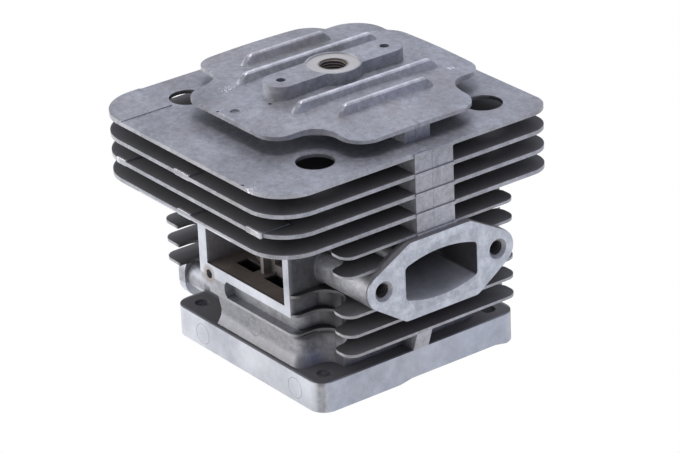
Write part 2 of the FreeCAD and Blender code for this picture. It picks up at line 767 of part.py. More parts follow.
hollows.append(padded("base_relief", "YZ", [
    ("relief_start", "-1", "0"),
    ("relief_end", "-1", "0"),
    ("relief_end", "0", "0"),
    ("relief_end - relief_slope", "relief_height", "0"),
    ("relief_start + relief_slope", "relief_height", "0"),
    ("relief_start", "0", "0"),
], f"{half_base} - relief_width", "relief_width + 1"))
hollows.append(cylinder("bore", "bore_diameter", "deck_height + 1", ("0", "0", "-1")))
dome = doc.addObject("Part::Cone", "dome")
bind(dome, "Radius1", "dome_foot / 2")
bind(dome, "Radius2", "dome_top / 2")
bind(dome, "Height", "dome_height + 0.5")
put(dome, ("0", "0", "deck_height - 0.5"))
hollows.append(dome)
hollows.append(cylinder("plug_hole", "plug_thread", "bar_top - deck_height",
                        ("0", "0", "deck_height + 2")))

# %% The casting ----------------------------------------------------------------------
walls_first = ("barrel", "rib_cover", "rib_plain")
late = [solid for solid in solids if solid.Name in walls_first]
early = [solid for solid in solids if solid.Name not in walls_first]
outside = cut("opened_boxes", join("outside", early), join("box_hollows", box_hollows))
blank = join("blank", [outside, *late])
casting = cut("casting", blank, join("hollows", hollows + screw_hollows))
casting.Label = "cylinder_casting"
doc.recompute()

# %% Checks and export ----------------------------------------------------------------
failed = [thing.Name for thing in doc.Objects
          if "Invalid" in thing.State or "Error" in thing.State]
if failed:
    raise RuntimeError(f"failed features: {failed}")
shape = casting.Shape
if shape.isNull() or not shape.isValid() or len(shape.Solids) != 1:
    raise RuntimeError(f"bad casting: {len(shape.Solids)} solids, valid {shape.isValid()}")
os.makedirs("parts", exist_ok=True)
shape.exportStep(os.path.join("parts", casting.Label + ".step"))
size = shape.BoundBox
print(f"casting {size.XLength:.1f} x {size.YLength:.1f} x {size.ZLength:.1f} mm,",
      f"{shape.Volume / 1000:.0f} cm3, {len(shape.Faces)} faces")
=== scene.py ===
# %% [markdown]
# # Air-cooled two-stroke cylinder: the look
#
# The real object is one aluminium die-casting: barrel, head, cooling fins and flanges
# cast in one shot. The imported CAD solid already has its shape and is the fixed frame.
# What is left for Blender is what the die and the tools leave behind: a pebbled skin,
# small edge radii, rounded rib crests, flash where the die closes, and cut threads. The
# scene is in metres and in the CAD frame; sizes are written in millimetres and meet MM
# where they are used.

import math
from types import SimpleNamespace

import bmesh
import bpy
from mathutils import Matrix, Vector


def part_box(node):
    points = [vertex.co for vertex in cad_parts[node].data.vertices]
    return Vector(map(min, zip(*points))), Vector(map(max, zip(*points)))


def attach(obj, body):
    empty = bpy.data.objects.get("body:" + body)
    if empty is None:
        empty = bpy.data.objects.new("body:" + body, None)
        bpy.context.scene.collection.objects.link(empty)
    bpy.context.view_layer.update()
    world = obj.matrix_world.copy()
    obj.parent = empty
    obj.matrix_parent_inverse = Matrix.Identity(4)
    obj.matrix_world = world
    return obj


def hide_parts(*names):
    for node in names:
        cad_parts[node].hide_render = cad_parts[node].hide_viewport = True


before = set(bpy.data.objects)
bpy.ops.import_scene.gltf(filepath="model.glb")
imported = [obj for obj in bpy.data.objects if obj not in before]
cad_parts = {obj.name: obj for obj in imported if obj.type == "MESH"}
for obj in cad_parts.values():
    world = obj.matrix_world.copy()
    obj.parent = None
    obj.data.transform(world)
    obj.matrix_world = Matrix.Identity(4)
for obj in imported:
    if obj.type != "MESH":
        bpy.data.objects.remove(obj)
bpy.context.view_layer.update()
MM = 0.001
CASTING = "cylinder_casting"
low, high = (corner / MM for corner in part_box(CASTING))
print("casting", [round(side, 1) for side in high - low], "mm")

# %% [markdown]
# ## Landmarks on the part
# Marks, threads and finishes have to sit on the right faces. The outermost faces are
# read from the solid, so they follow it. The inner levels and radii can't be read from a
# box, so they are written once here and every later cell uses them.

# %% Landmarks
SEAT_TOP = high.z
EXHAUST_FACE = high.x
INTAKE_FACE = low.x
FIN_REACH = -low.y
TOP_FIN = 87.8
FIN_PITCH = 7.07
FIN_FRONT = 52.9
POST_HALF = 7.9
PLATE_TOP = 95.0
BASE_HALF = 42.2
BASE_TOP = 10.9
NECK_FACE = 38.2
RIM_FACE = 41.4
BORE_RADIUS = 26.0
DECK = 73.0
BOLT = 35.0
EXHAUST_AXIS = 44.5
EXHAUST_SCREW = 23.9
print("fins reach", round(FIN_REACH, 1), "mm, plug seat at", round(SEAT_TOP, 1), "mm")

# %% [markdown]
# ## Helpers for node trees
# A node tree is only nodes, values and links, so one small function adds a node with all
# three. Shaders count colour in linear light while hex codes are display values, so a
# second one converts them wherever a colour is plugged in.


# %% Nodes and colours
def linear(code):
    """A display colour such as "8d8f96" as linear RGBA."""
    channels = [int(code[i:i + 2], 16) / 255 for i in (0, 2, 4)]
    light = [c / 12.92 if c <= 0.04045 else ((c + 0.055) / 1.055) ** 2.4 for c in channels]
    return (*light, 1)


def plug(tree, socket, item):
    """Link an output to a socket, or set the socket to a value or a hex colour."""
    if isinstance(item, bpy.types.NodeSocket):
        tree.links.new(item, socket)
    elif isinstance(item, str):
        socket.default_value = linear(item)
    else:
        socket.default_value = item


def node(tree, kind, inputs=None, **settings):
    """Add a node with its settings, values and links."""
    made = tree.nodes.new(kind)
    for key, item in settings.items():
        setattr(made, key, item)
    for key, item in (inputs or {}).items():
        plug(tree, made.inputs[key], item)
    return made


print("mid grey 808080 is", round(linear("808080")[0], 3), "in linear light")

# %% [markdown]
# ## Masks
# One casting has many finishes: dull oxide and painted shade between the fins, rubbed
# on the foot, machined on the flanges, and painted light and shade in a few other places.
# Painting them by hand would need the mesh unwrapped first, and would not follow a changed
# size. Instead each finish has a mask, a number that is 1 in its region and 0 outside,
# worked out from the point's own place. Masks multiply to give the part that all of them
# share.


# %% Mask arithmetic
def weighted(tree, base, *terms):
    """The base plus each value times its weight."""
    for value, weight in terms:
        base = node(tree, "ShaderNodeMath", {0: value, 1: weight, 2: base},
                    operation="MULTIPLY_ADD").outputs[0]
    return base


def both(tree, first, *others):
    """A mask where all of the masks hold."""
    for other in others:
        first = node(tree, "ShaderNodeMath", {0: first, 1: other}, operation="MULTIPLY").outputs[0]
    return first


def either(tree, first, *others):
    """A mask where any of the masks holds."""
    for other in others:
        first = node(tree, "ShaderNodeMath", {0: first, 1: other}, operation="MAXIMUM").outputs[0]
    return first


def outside(tree, mask):
    """1 where the mask is 0."""
    return weighted(tree, 1.0, (mask, -1.0))


# %% Masks from a place
def rises(tree, value, start, end, unit=MM):
    """0 up to the start and 1 from the end on, with a soft step; falls if end < start."""
    return node(tree, "ShaderNodeMapRange", {
        "Value": value, "From Min": start * unit, "From Max": end * unit,
        "To Min": 0.0, "To Max": 1.0}).outputs["Result"]


def near(tree, value, middle, half, soft=0.1):
    """1 within half of the middle, soft beyond it."""
    offset = weighted(tree, -middle * MM, (value, 1.0))
    gap = node(tree, "ShaderNodeMath", {0: offset}, operation="ABSOLUTE").outputs[0]
    return rises(tree, gap, half + soft, half)


def distance(tree, first, second, centre):
    """How far a point is from a centre, in the plane of two of its coordinates."""
    point = node(tree, "ShaderNodeCombineXYZ", {"X": first, "Y": second}).outputs[0]
    target = (centre[0] * MM, centre[1] * MM, 0.0)
    return node(tree, "ShaderNodeVectorMath", {0: point, 1: target},
                operation="DISTANCE").outputs["Value"]


def inside(tree, at, region):
    """1 inside a region given as {coordinate: (middle, half size, soft edge)}."""
    slabs = [near(tree, getattr(at, name), *slab) for name, slab in region.items()]
    return both(tree, *slabs)


# %% [markdown]
# ## Colour on top of colour
# Oxide, stains, rubbed metal and painted light and shade lie on the bare casting like
# thin coats. Each coat mixes its colour over what is under it, as strongly as its mask
# says, so the order of the calls is the order of the coats.


# %% Coats
def coat(tree, under, mask, strength, over, blend="MIX"):
    """Lay a colour over another where a mask holds."""
    factor = weighted(tree, 0.0, (mask, strength))
    return node(tree, "ShaderNodeMix", {0: factor, 6: under, 7: over},
                data_type="RGBA", blend_type=blend).outputs[2]


def shades(tree, pattern, *stops):
    """Colours that follow a pattern, from (value, hex colour) stops."""
    made = node(tree, "ShaderNodeValToRGB", {"Fac": pattern})
    elements = made.color_ramp.elements
    while len(elements) < len(stops):
        elements.new(0.5)
    for element, (value, colour) in zip(elements, stops):
        element.position = value
        element.color = linear(colour)
    return made.outputs["Color"]


# %% [markdown]
# ## Where a point is, and the grain of the metal
# The masks read Object coordinates, which stay on the part when it moves and need no
# unwrapping. The grain is noise at eight sizes, from the broad clouds that the metal
# leaves as it chills in the die down to the pebbles of its skin. The real pebbles are
# about 0.1 mm, too fine for the render, so they are drawn at 0.7 mm.

# %% Coordinates and grain
# Each pattern: size of its features in millimetres, detail, roughness.
GRAIN = {
    "patches": (58.8, 3.0, 0.5),
    "cloud": (26.3, 5.0, 0.6),
    "smudge": (14.3, 6.0, 0.7),
    "scuff": (4.17, 6.0, 0.75),
    "speckle": (2.38, 4.0, 0.7),
    "chip": (1.11, 3.0, 0.6),
    "fleck": (0.909, 3.0, 0.7),
    "pebble": (0.667, 2.0, 0.6),
}


def coordinates(tree):
    """A point's coordinates, its distances from the mid planes, and how its face looks up."""
    place = node(tree, "ShaderNodeTexCoord").outputs["Object"]
    x, y, z = node(tree, "ShaderNodeSeparateXYZ", {0: place}).outputs
    normal = node(tree, "ShaderNodeNewGeometry").outputs["True Normal"]
    up = node(tree, "ShaderNodeSeparateXYZ", {0: normal}).outputs["Z"]
    aside, across, tilt = (
        node(tree, "ShaderNodeMath", {0: value}, operation="ABSOLUTE").outputs[0]
        for value in (x, y, up))
    return SimpleNamespace(place=place, x=x, y=y, z=z, up=up, aside=aside, across=across,
                           tilt=tilt, reach=either(tree, aside, across),
                           radial=distance(tree, x, y, (0, 0)))


def grains(tree, place):
    """Every pattern of the grain, by name."""
    made = {}
    for name, (size, detail, roughness) in GRAIN.items():
        made[name] = node(tree, "ShaderNodeTexNoise", {
            "Vector": place, "Scale": 1 / (size * MM), "Detail": detail,
            "Roughness": roughness}).outputs["Fac"]
    return SimpleNamespace(**made)


print("grain from", min(size for size, *_ in GRAIN.values()), "to",
      max(size for size, *_ in GRAIN.values()), "mm")

# %% [markdown]
# ## Oxide and painted shade between the fins
# No hand or tool reaches the faces between the fins, so they keep a dull oxide; a painted
# shade on top makes them darker the deeper they lie. A plain colour would make them as
# bright as the top. Here the oxide, which also paints the shade of the fins' flat faces,
# takes only faces that look up or down below the top fin, so that upright faces and the
# sloping necks stay bare. The same cell paints shade into the port, the passage, the bolt
# ways and the neck's foot, light onto the port floor, and a browner tone into the open box.

# %% Regions of painted shade, painted light and oxide
EXHAUST_PORT = {"y": (0.0, 15.4, 0.2), "z": (44.2, 11.2, 0.2)}
LEDGE_RIM = {"x": (1.0, 27.0), "z": (22.0, 9.5)}
BOX_INSIDE = {"x": (1.6, 21.9, 0.2), "z": (45.3, 12.2, 0.2)}
PASSAGE = {"across": (31.6, 2.8), "x": (-1.0, 13.7)}
BOLT_RECESS = {"aside": (BOLT, 8.0, 2.0), "across": (33.5, 6.3, 1.5), "z": (41.0, 19.0, 3.0)}
LEDGE_EDGE = 37.3
PORT_START = 30.0
PASSAGE_TOP = 33.0
BOSS_RADIUS = 7.0
# The way of each bolt and its driver past the large fins, painted in shade: radius and lowest level.
WAY_RADIUS, WAY_BOTTOM = 8.0, 60.0
# How far in from the fins' edges the painted shade starts and is full.
SHADE_START, SHADE_FULL = 1.0, 12.0


def shade_light_and_oxide(tree, at, grain):
    """Masks of oxide and painted shade between the fins, painted shade in the port, passage, bolt ways
    and neck's foot, painted light on the port floor, and the box's tone.
    """
    wander = weighted(tree, at.z, (grain.cloud, 0.4 * MM))
    # Painted shade inside the exhaust port.
    port_shade = both(tree, inside(tree, at, EXHAUST_PORT), rises(tree, at.x, PORT_START - 1, PORT_START + 1))
    ledge_rim = both(tree, rises(tree, at.across, LEDGE_EDGE, LEDGE_EDGE + 0.5),
                     inside(tree, at, LEDGE_RIM))
    # Dull oxide on the flat faces between the fins, which also paints the shade that they get.
    oxide_and_shade = both(tree, rises(tree, at.tilt, 0.75, 0.96, unit=1),
                 rises(tree, wander, TOP_FIN - 0.6, TOP_FIN - 1.1),
                 rises(tree, at.z, 0.5, 1.0),
                 outside(tree, either(tree, port_shade, ledge_rim)))
    # Painted shade, darker the deeper a point lies behind the fins' edges.
    depths = [rises(tree, value, edge - SHADE_START, edge - SHADE_FULL)
              for value, edge in ((at.aside, FIN_FRONT - 0.1), (at.across, FIN_REACH))]
    depth = node(tree, "ShaderNodeMath", {0: depths[0], 1: depths[1]},
                 operation="MINIMUM").outputs[0]
    # Painted shade in the bolt recesses and down each bolt's way through the large fins.
    screw = distance(tree, at.across, at.z, (EXHAUST_SCREW, EXHAUST_AXIS))
    recess_shade = both(tree, inside(tree, at, BOLT_RECESS),
                  rises(tree, screw, BOSS_RADIUS, BOSS_RADIUS + 0.6))
    bolt = distance(tree, at.aside, at.across, (BOLT, BOLT))
    sleeve_shade = both(tree, rises(tree, bolt, WAY_RADIUS + 1, WAY_RADIUS),
                  rises(tree, at.z, WAY_BOTTOM - 2, WAY_BOTTOM),
                  rises(tree, at.z, TOP_FIN - 0.2, TOP_FIN - 0.6))
    return SimpleNamespace(
        oxide_and_shade=oxide_and_shade, port_shade=port_shade,
        shade=both(tree, oxide_and_shade, depth, rises(tree, at.z, BASE_TOP + 0.3, BASE_TOP + 1.0)),
        # Painted light on the outer part of the port floor.
        port_floor_light=both(tree, port_shade, rises(tree, at.up, 0.6, 0.9, unit=1),
                        rises(tree, at.x, PORT_START - 1, PORT_START + 15)),
        # A darker, browner tone inside the open box.
        box=both(tree, inside(tree, at, BOX_INSIDE),
                 rises(tree, at.across, RIM_FACE, RIM_FACE - 1.0)),
        # Painted shade, near black, in the passage.
        passage_shade=both(tree, inside(tree, at, PASSAGE),
                     rises(tree, at.z, PASSAGE_TOP + 0.4, PASSAGE_TOP - 0.4)),
        recess_shade=either(tree, recess_shade, sleeve_shade),
        # Painted shade on the base's top and the neck's foot.
        ledge_shade=both(tree, rises(tree, at.z, BASE_TOP + 5.5, BASE_TOP + 0.5),
                   rises(tree, at.reach, BASE_HALF - 0.6, BASE_HALF - 1.2),
                   rises(tree, at.z, BASE_TOP - 1.4, BASE_TOP - 0.4)))


print("the shade is full", SHADE_FULL, "mm in from the fins' edges")


# %% [markdown]
# ## Rubbed, machined and painted faces
# The foot's sides and the rim that a cover seals on are rubbed bright by handling. They
# also carry painted light, stronger away from the foot's +X side, which has a painted cool
# shade instead. The flanges, the plug seat, the bore and the gasket face are cut by a
# tool, which takes the pebbled skin off. Both are found by the level of the face, so a
# soft edge of a tenth of a millimetre keeps each finish on its own face. The walls of the
# exhaust screws' tapped holes carry painted shade, and the plug hole's wall is darker and
# browner.

# %% Rubbed, machined and painted regions
COVER_RIM = {"x": (0.9, 26.0, 0.3), "z": (47.4, 18.2, 0.3)}
COVER_SCREW = (-19.7, 29.7)
SEAT_RADIUS = 9.0
TAP_RADIUS, TAP_END = 2.7, 35.0
PLUG_RADIUS, PLUG_START = 4.9, 84.0


def rubbed_and_lit_faces(tree, at):
    """The foot's sides and the cover's rim, rubbed and with painted light, the painted cool shade on
    the foot's +X side, and a screw's stain.
    """
    foot = both(tree, rises(tree, at.reach, BASE_HALF - 1.2, BASE_HALF - 0.4),
                rises(tree, at.z, BASE_TOP + 0.4, BASE_TOP - 0.2))
    rim = both(tree, rises(tree, at.across, RIM_FACE - 0.1, RIM_FACE + 0.1),
               inside(tree, at, COVER_RIM))
    # The foot's +X side, painted in a darker, cool shade.
    shaded_side = rises(tree, at.x, BASE_HALF - 1.0, BASE_HALF - 0.4)
    stain = both(tree, near(tree, distance(tree, at.x, at.z, COVER_SCREW), 1.8, 0.7, 1.3),
                 rises(tree, at.across, RIM_FACE - 0.4, RIM_FACE))
    # Rubbed metal, with painted light that is stronger away from the foot's +X side.
    bright = both(tree, either(tree, foot, rim), weighted(tree, 0.62, (shaded_side, -0.4)))
    return SimpleNamespace(bright=bright, shaded_foot_side=both(tree, shaded_side, foot), stain=stain)


def machined_and_hole_shade(tree, at):
    """Plug seat, flanges and gasket face, bore, and the tapped holes: painted shade in the screws'
    holes and a darker, browner plug hole.
    """
    seat = both(tree, rises(tree, at.radial, SEAT_RADIUS + 0.1, SEAT_RADIUS - 0.1),
                rises(tree, at.z, SEAT_TOP - 0.8, SEAT_TOP - 0.6))
    flanges = either(tree, rises(tree, at.x, EXHAUST_FACE - 0.12, EXHAUST_FACE - 0.05),
                     rises(tree, at.x, INTAKE_FACE + 0.12, INTAKE_FACE + 0.05),
                     rises(tree, at.z, 0.12, 0.05))
    bore = both(tree, rises(tree, at.radial, BORE_RADIUS + 0.3, BORE_RADIUS + 0.1),
                rises(tree, at.z, DECK + 0.3, DECK))
    screw = distance(tree, at.across, at.z, (EXHAUST_SCREW, EXHAUST_AXIS))
    # Painted shade on the walls of the exhaust screws' holes.
    tap_shade = both(tree, rises(tree, screw, TAP_RADIUS + 0.1, TAP_RADIUS - 0.1),
               rises(tree, at.x, TAP_END, TAP_END + 1),
               rises(tree, at.x, EXHAUST_FACE - 1.0, EXHAUST_FACE - 1.6))
    # The plug hole's wall, darker and browner.
    plug_hole = both(tree, rises(tree, at.radial, PLUG_RADIUS + 0.6, PLUG_RADIUS),
                     rises(tree, at.z, PLUG_START - 4, PLUG_START))
    return SimpleNamespace(seat=seat, flanges=flanges, bore=bore, tap_shade=tap_shade,
                           plug_hole=plug_hole, cut=either(tree, seat, flanges, bore))


print("machined: seat of radius", SEAT_RADIUS, "mm and bore of radius", BORE_RADIUS, "mm")


# %% [markdown]
# ## Marks of casting and handling
# Ejector pins leave shallow rings, the die's halves leave a parting line, and a cylinder
# that has been on a bench has pits, nicks and scratches. They are too shallow to change
# the outline, so they are masks that darken, brighten or groove the surface.

# %% Places of the marks
# Rings of ejector pins: the face's axis and level, the centre on it, the radius.
EJECTOR_MARKS = (
    ("y", -BASE_HALF, (-25.0, 5.0), 3.7),
    ("y", -BASE_HALF, (28.0, 5.0), 3.7),
    ("y", -NECK_FACE, (1.0, 16.5), 3.3),
)
# Dark pits and bright nicks on faces that look up: centre, level and radius.
PITS = ((3.6, -29.0, 96.0, 0.5), (-32.8, 32.2, PLATE_TOP, 0.45), (34.0, -21.8, BASE_TOP, 1.0),
        (34.8, -63.4, 87.6, 0.7), (-5.3, -43.9, PLATE_TOP, 0.5))
NICKS = ((-17.2, -31.5, PLATE_TOP, 3.4), (19.6, 35.0, PLATE_TOP, 2.4), (38.8, -63.2, 87.6, 2.6))
# Scratches on the uppermost fin and the plate: two ends each.
SCRATCHES = (((-2.7, -48.0), (8.4, -43.1)), ((-6.0, -46.5), (3.0, -44.0)),
             ((12.0, 21.0), (20.0, 26.0)), ((36.0, -6.0), (41.0, 3.5)),
             ((40.9, -62.6), (41.3, -52.5)))
SCRATCH_HALF = 0.09
# The die's parting line down the post, and the seam round the lower half of a boss.
PARTING_Y, PARTING_X, PARTING_Z = -0.8, 43.0, 58.0
SEAM_X, SEAM_RADIUS = 40.6, 6.8
print(len(EJECTOR_MARKS), "rings,", len(PITS), "pits,", len(NICKS), "nicks,",
      len(SCRATCHES), "scratches")


# %% Masks of the marks
def spot(tree, at, x, y, radius, fade):
    """A round patch seen from above, full inside radius and gone at fade."""
    return rises(tree, distance(tree, at.x, at.y, (x, y)), fade, radius)


def scratch(tree, at, ends):
    """A thin straight line between two points, seen from above."""
    start, end = (Vector(point) for point in ends)
    along = (end - start).normalized()
    side = Vector((along.y, -along.x))
    middle = (start + end) / 2
    half = (end - start).length / 2
    offset = weighted(tree, 0.0, (at.x, side.x), (at.y, side.y))
    travel = weighted(tree, 0.0, (at.x, along.x), (at.y, along.y))
    return both(tree, near(tree, offset, middle.dot(side), SCRATCH_HALF),
                near(tree, travel, middle.dot(along), half - 0.5, 0.8))


def marks(tree, at, grain):
    """Grooves, scratched lines, pits and nicks."""
    planes = {"x": (at.x, at.y, at.z), "y": (at.y, at.x, at.z), "z": (at.z, at.x, at.y)}
    grooves = []
    for axis, face, centre, radius in EJECTOR_MARKS:
        depth, first, second = planes[axis]
        ring = near(tree, distance(tree, first, second, centre), radius, 0.1, 0.14)
        grooves.append(both(tree, near(tree, depth, face, 1.2), ring))
    grooves.append(both(tree, near(tree, at.y, PARTING_Y, 0.08, 0.12),
                        rises(tree, at.x, PARTING_X, PARTING_X + 1),
                        rises(tree, at.z, PARTING_Z, PARTING_Z + 2)))
    boss = distance(tree, at.y, at.z, (-EXHAUST_SCREW, EXHAUST_AXIS))
    grooves.append(both(tree, near(tree, at.x, SEAM_X, 0.1, 0.15),
                        near(tree, boss, SEAM_RADIUS, 0.5),
                        rises(tree, at.z, EXHAUST_AXIS + 0.5, EXHAUST_AXIS - 0.5)))
    upward = rises(tree, at.up, 0.6, 0.9, unit=1)
    chipped = rises(tree, grain.chip, 0.52, 0.6, unit=1)
    pits = [both(tree, spot(tree, at, x, y, size, size + 0.15), near(tree, at.z, level, 2.0))
            for x, y, level, size in PITS]
    nicks = [both(tree, spot(tree, at, x, y, 0.4 * size, size), near(tree, at.z, level, 1.2))
             for x, y, level, size in NICKS]
    lines = [scratch(tree, at, ends) for ends in SCRATCHES]
    return SimpleNamespace(
        grooves=either(tree, *grooves),
        pits=both(tree, either(tree, *pits), upward),
        nicks=both(tree, either(tree, *nicks), chipped),
        lines=both(tree, either(tree, *lines), upward, chipped,
                   rises(tree, at.z, TOP_FIN - 0.8, TOP_FIN - 0.3)))


# %% [markdown]
# ## The material: die-cast aluminium, as cast
# Aluminium from a pressure die comes out grey rather than mirror bright, because its skin
# scatters light. To the eye it is a soft satin metal with cool and brownish patches. So it
# is a half-metallic surface with a wide highlight; the cut faces are a little shinier
# because the tool took the skin off.


# %% Bare metal and its coats
def bare_casting(tree, grain, tones):
    """Clouded grey with brownish patches, grit, bright flecks and smudges."""
    metal = shades(tree, grain.cloud, *zip((0.28, 0.5, 0.72), tones))
    warmer = coat(tree, metal, 1.0, 0.45, "83807f")
    metal = coat(tree, metal, rises(tree, grain.patches, 0.42, 0.66, unit=1), 1.0, warmer)
    grit = shades(tree, grain.speckle, (0.35, "bebebe"), (0.6, "ffffff"))
    metal = coat(tree, metal, 1.0, 0.6, grit, "MULTIPLY")
    metal = coat(tree, metal, rises(tree, grain.fleck, 0.58, 0.7, unit=1), 0.3, "bfc0c6")
    return coat(tree, metal, rises(tree, grain.smudge, 0.5, 0.72, unit=1), 0.4, "68625f")


def coated(tree, metal, grain, shading, foot_and_rim, cut_and_hole_shade, mark, oxide_and_shade_tone):
    """The bare metal with each region's own coat, painted light and shade among them, in the order that
    they lie.
    """
    # Oxide that is also a painted shade on the fins' flat faces.
    metal = coat(tree, metal, shading.oxide_and_shade, 0.8, oxide_and_shade_tone)
    # Painted shade, deeper between the fins.
    metal = coat(tree, metal, shading.shade, 0.85, "232020")
    # Painted shade inside the exhaust port.
    metal = coat(tree, metal, shading.port_shade, 0.75, "2e2b2b")
    # Painted light on the outer part of the port floor.
    metal = coat(tree, metal, shading.port_floor_light, 0.9,
                 shades(tree, grain.smudge, (0.3, "b4b4bb"), (0.7, "e4e5ec")))
    # A darker, browner tone inside the open box.
    metal = coat(tree, metal, shading.box, 0.7,
                 shades(tree, grain.smudge, (0.3, "5f554d"), (0.7, "857a72")))
    # Painted shade, near black, in the passage.
    metal = coat(tree, metal, shading.passage_shade, 0.95, "0d0b0a")
    # Painted shade in the bolt recesses and the bolts' ways.
    metal = coat(tree, metal, shading.recess_shade, 0.75, "2a2827")
    # Painted shade on the base's top and the neck's foot.
    metal = coat(tree, metal, shading.ledge_shade, 0.6, "454445")
    # Painted cool shade on the foot's +X side.
    metal = coat(tree, metal, foot_and_rim.shaded_foot_side, 0.75, shades(
        tree, grain.smudge, (0.35, "9398a6"), (0.52, "7c818d"), (0.68, "62666f")))
    # Rubbed metal, with painted light that is stronger away from the foot's +X side.
    metal = coat(tree, metal, foot_and_rim.bright, 1.0, shades(
        tree, grain.cloud, (0.3, "8f9199"), (0.5, "aeb0b8"), (0.7, "c6c8cf")))
    metal = coat(tree, metal, foot_and_rim.stain, 0.6, "6e5e50")
    metal = coat(tree, metal, cut_and_hole_shade.seat, 0.85, "a5a19c")
    scuffs = rises(tree, grain.scuff, 0.42, 0.66, unit=1)
    scuffed = coat(tree, "8f939d", scuffs, 1.0, "b4b8c2")
    metal = coat(tree, metal, cut_and_hole_shade.flanges, 0.7, scuffed)
    metal = coat(tree, metal, cut_and_hole_shade.bore, 0.8, "8b8c8f")
    # Painted shade on the walls of the exhaust screws' holes.
    metal = coat(tree, metal, cut_and_hole_shade.tap_shade, 0.85, "2c2927")
    # The plug hole's wall, darker and browner.
    metal = coat(tree, metal, cut_and_hole_shade.plug_hole, 0.8, "5b5046")
    metal = coat(tree, metal, either(tree, mark.grooves, mark.lines), 0.45, "4a4848")
    metal = coat(tree, metal, mark.pits, 1.0, "1b1a1a")
    return coat(tree, metal, mark.nicks, 0.8, "d4d4d6")


# %% [markdown]
# ## Its relief and its two versions
# Bump adds the pebbles, the turned rings of the plug seat and the grooves of the marks.
# The rings of a facing cut are as far apart as the tool moves in one turn. The same
# recipe with lighter tones is the metal on edges, which are the first to be rubbed; the
# lighter tones are also a painted highlight on the edges.

# %% Cast metal and worn edge
TURNED_PITCH = 0.3
BUMP_DEPTH = 0.3


def cast_metal(name, tones, oxide_and_shade_tone="5a5757", roughness=0.48):
    material = bpy.data.materials.new(name)
    material.use_nodes = True
    tree = material.node_tree
    shader = tree.nodes["Principled BSDF"]
    at = coordinates(tree)
    grain = grains(tree, at.place)
    shading = shade_light_and_oxide(tree, at, grain)
    foot_and_rim = rubbed_and_lit_faces(tree, at)
    cut_and_hole_shade = machined_and_hole_shade(tree, at)
    mark = marks(tree, at, grain)
    metal = bare_casting(tree, grain, tones)
    metal = coated(tree, metal, grain, shading, foot_and_rim, cut_and_hole_shade, mark, oxide_and_shade_tone)
    plug(tree, shader.inputs["Base Color"], metal)
    plug(tree, shader.inputs["Metallic"], weighted(tree, 0.55, (shading.oxide_and_shade, -0.3)))
    plug(tree, shader.inputs["Roughness"],
         weighted(tree, roughness - 0.08, (grain.speckle, 0.2), (cut_and_hole_shade.cut, -0.14),
                  (shading.oxide_and_shade, 0.2)))

    skin = weighted(tree, 0.0, (grain.speckle, 0.7), (grain.pebble, 0.3))
    skin = both(tree, skin, weighted(tree, 1.0, (cut_and_hole_shade.cut, -0.85)))
    phase = weighted(tree, 0.0, (at.radial, 2 * math.pi / (TURNED_PITCH * MM)))
    wave = node(tree, "ShaderNodeMath", {0: phase}, operation="SINE").outputs[0]
    height = weighted(tree, skin, (both(tree, cut_and_hole_shade.seat, wave), 0.06), (mark.grooves, -1.2))
    bump = node(tree, "ShaderNodeBump",
                {"Height": height, "Strength": 0.3, "Distance": BUMP_DEPTH * MM})
    plug(tree, shader.inputs["Normal"], bump.outputs["Normal"])
    print(name, "has", len(tree.nodes), "nodes")
    return material


METAL = cast_metal("cast_aluminium", ("737479", "86878d", "9a9ba1"))
# The lighter copy for edges is worn metal and also a painted highlight.
EDGE_WEAR_AND_HIGHLIGHT = cast_metal("edge_wear_and_highlight", ("a2a2a8", "b4b4ba", "c6c6ca"), "8d8985", 0.4)

# %% [markdown]
# ## The casting
# A CAD solid arrives as loose triangles with knife edges, while a die-casting has a small
# radius everywhere. A copy is merged and its flat faces are joined, so that the Bevel
# modifier rounds only true edges; weighted normals then keep the large faces flat. The
# bevel takes the lighter edge metal, because edges are rubbed first; the lighter tone is
# also a painted highlight where the radius catches the light.

# %% Dress the solid
EDGE_RADIUS = 0.35
MERGE_DISTANCE = 0.001
FLAT_ANGLE = math.radians(0.5)
EDGE_ANGLE = math.radians(35)


def finish(piece):
    """Add a piece to the scene and fix it to the body."""
    bpy.context.scene.collection.objects.link(piece)
    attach(piece, "root")
    return piece


def dressed_casting():
    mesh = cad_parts[CASTING].data.copy()
    mesh.materials.clear()
    work = bmesh.new()
    work.from_mesh(mesh)
    bmesh.ops.remove_doubles(work, verts=work.verts, dist=MERGE_DISTANCE * MM)
    bmesh.ops.dissolve_limit(work, angle_limit=FLAT_ANGLE, verts=work.verts, edges=work.edges)
    work.to_mesh(mesh)
    work.free()
    piece = finish(bpy.data.objects.new("casting_body", mesh))
    mesh.materials.append(METAL)
    mesh.materials.append(EDGE_WEAR_AND_HIGHLIGHT)
    bevel = piece.modifiers.new("edge_radius", "BEVEL")
    bevel.width = EDGE_RADIUS * MM
    bevel.segments = 2
    bevel.limit_method = "ANGLE"
    bevel.angle_limit = EDGE_ANGLE
    # Edges take the lighter metal: worn, and a painted highlight.
    bevel.material = 1
    mesh.shade_smooth()
    smooth = piece.modifiers.new("weighted_normals", "WEIGHTED_NORMAL")
    smooth.keep_sharp = False
    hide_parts(CASTING)
    return piece


casting = dressed_casting()
print("casting_body has", len(casting.data.polygons), "faces before its edge radius")

# %% [markdown]
# ## Soft ribs on the top plate
# The plate's cooling ribs have rounded crests and run-out ends, because a sharp rib fills
# badly and sticks in the die. A bevel can't give a rib that narrows along and across at
# once. So each is a stack of long rings, wide at the foot and drawn in towards the ridge,
# that wraps the plain rib of the solid. Its upper rings take the lighter edge metal, worn
# and also a painted highlight along the crest.

# %% Ribs
# Each rib's place across the plug bar and the two ends of its foot.
RIBS = ((-29.5, -16.8, 20.8), (-17.5, -27.3, 31.8), (14.5, -28.3, 32.3), (26.0, -18.8, 21.3))
